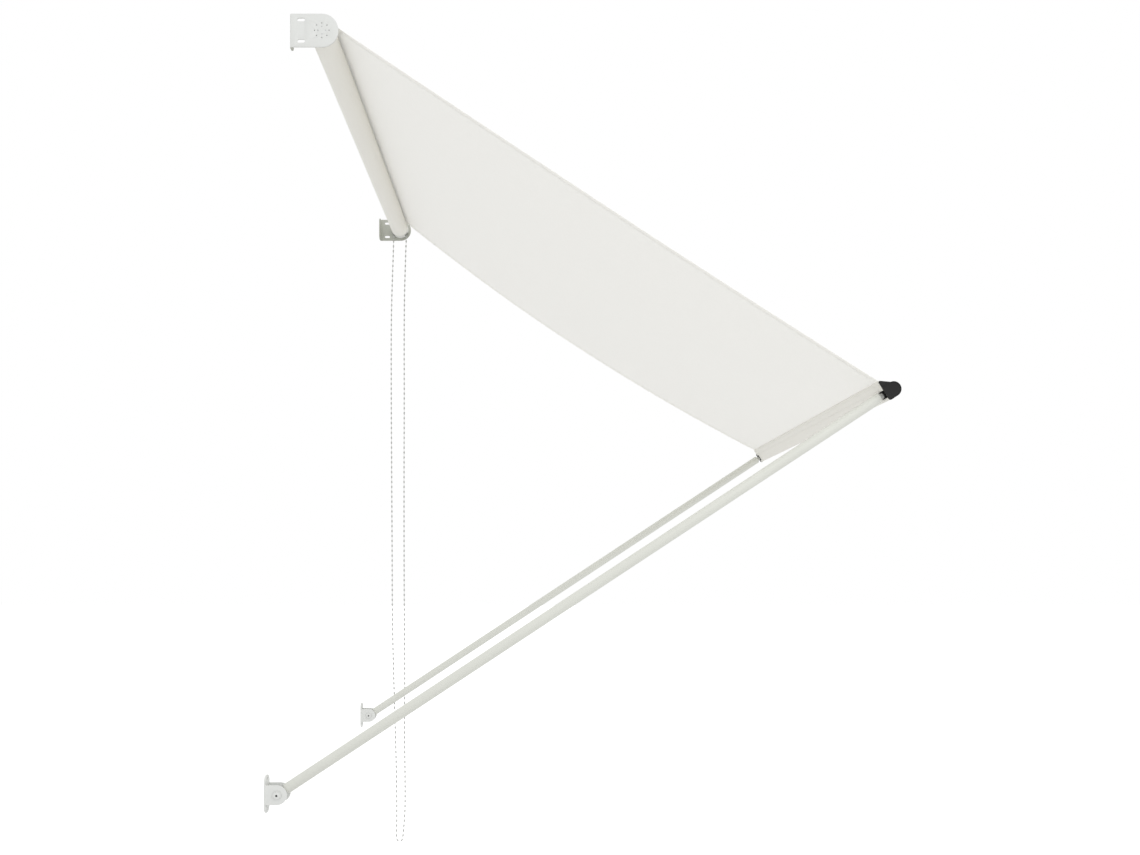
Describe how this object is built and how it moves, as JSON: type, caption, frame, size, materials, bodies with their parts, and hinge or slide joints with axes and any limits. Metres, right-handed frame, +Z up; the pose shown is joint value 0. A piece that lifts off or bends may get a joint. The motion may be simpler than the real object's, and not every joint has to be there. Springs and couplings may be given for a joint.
{
  "type": "canvas awning",
  "caption": "Drop-arm wall awning: off-white canvas on a chain-driven roller, held out by two pivoting tube arms and a front bar.",
  "frame": {"origin": "middle of the left top bracket's wall face, at roller-axis height", "axes": "+X along the width from the idler end to the chain end, -Y away from the wall, +Z up"},
  "size_m": [1, 1.295, 1.9907],
  "materials": {
    "bracket_coat": "satin powder coat, off-white",
    "tube_coat": "satin powder coat, off-white",
    "canvas": "woven polyester canvas, off-white",
    "black_plastic": "moulded, fine grain",
    "grey_plastic": "moulded",
    "white_plastic": "moulded",
    "chain_plastic": "moulded beads on a cord",
    "zinc": "zinc plated",
    "nylon": "natural nylon"
  },
  "bodies": {
    "root": {"top_bracket_left": "bracket_coat", "top_bracket_right": "bracket_coat", "lower_bracket_left": "bracket_coat", "lower_bracket_right": "bracket_coat", "pivot_bolt_left": "bracket_coat", "pivot_bolt_right": "bracket_coat", "pivot_washer_left_1": "bracket_coat", "pivot_washer_left_2": "bracket_coat", "pivot_washer_left_3": "bracket_coat", "pivot_washer_left_4": "bracket_coat", "pivot_washer_right_1": "bracket_coat", "pivot_washer_right_2": "bracket_coat", "pivot_washer_right_3": "bracket_coat", "pivot_washer_right_4": "bracket_coat", "canopy_panel": "canvas", "drive_spindle": "grey_plastic", "drive_housing": "white_plastic", "chain_loop": "chain_plastic", "chain_over_wheel": "chain_plastic", "idler_pin": "zinc", "brake_spring": "zinc", "pivot_nut_left": "zinc", "pivot_nut_right": "zinc", "idler_screw_1": "zinc", "idler_screw_2": "zinc", "idler_screw_3": "zinc", "idler_screw_4": "zinc", "drive_screw_1": "zinc", "drive_screw_2": "zinc", "drive_screw_3": "zinc", "drive_screw_4": "zinc"},
    "roller": {"roller_tube": "tube_coat", "idler_plug": "grey_plastic", "idler_bush": "nylon", "drive_plug": "grey_plastic", "chain_wheel": "white_plastic", "canopy_roll": "canvas", "keder_rod": "white_plastic"},
    "arm_frame": {"arm_left": "tube_coat", "arm_foot_left": "grey_plastic", "pivot_bush_left": "nylon", "arm_tip_left": "grey_plastic", "end_cap_left": "black_plastic", "arm_right": "tube_coat", "arm_foot_right": "grey_plastic", "pivot_bush_right": "nylon", "arm_tip_right": "grey_plastic", "end_cap_right": "black_plastic", "arm_screw_left_foot": "zinc", "arm_screw_left_tip": "zinc", "arm_screw_right_foot": "zinc", "arm_screw_right_tip": "zinc", "front_bar": "tube_coat", "canopy_hem": "canvas"}
  },
  "joints": [
    {"name": "arm_fold", "type": "hinge", "parent": "root", "child": "arm_frame", "pos_m": [0, 0.029, -1.549], "axis": [-1, 0, 0], "range_deg": [0, 50.8], "deforming": ["canopy_panel"]},
    {"name": "roller_spin", "type": "hinge", "parent": "root", "child": "roller", "pos_m": [0, -0.065, 0], "axis": [-1, 0, 0], "range_deg": [0, 2556]}
  ],
  "couplings": [
    {"joint": "roller_spin", "follows": "arm_fold", "ratio": 50.3}
  ]
}
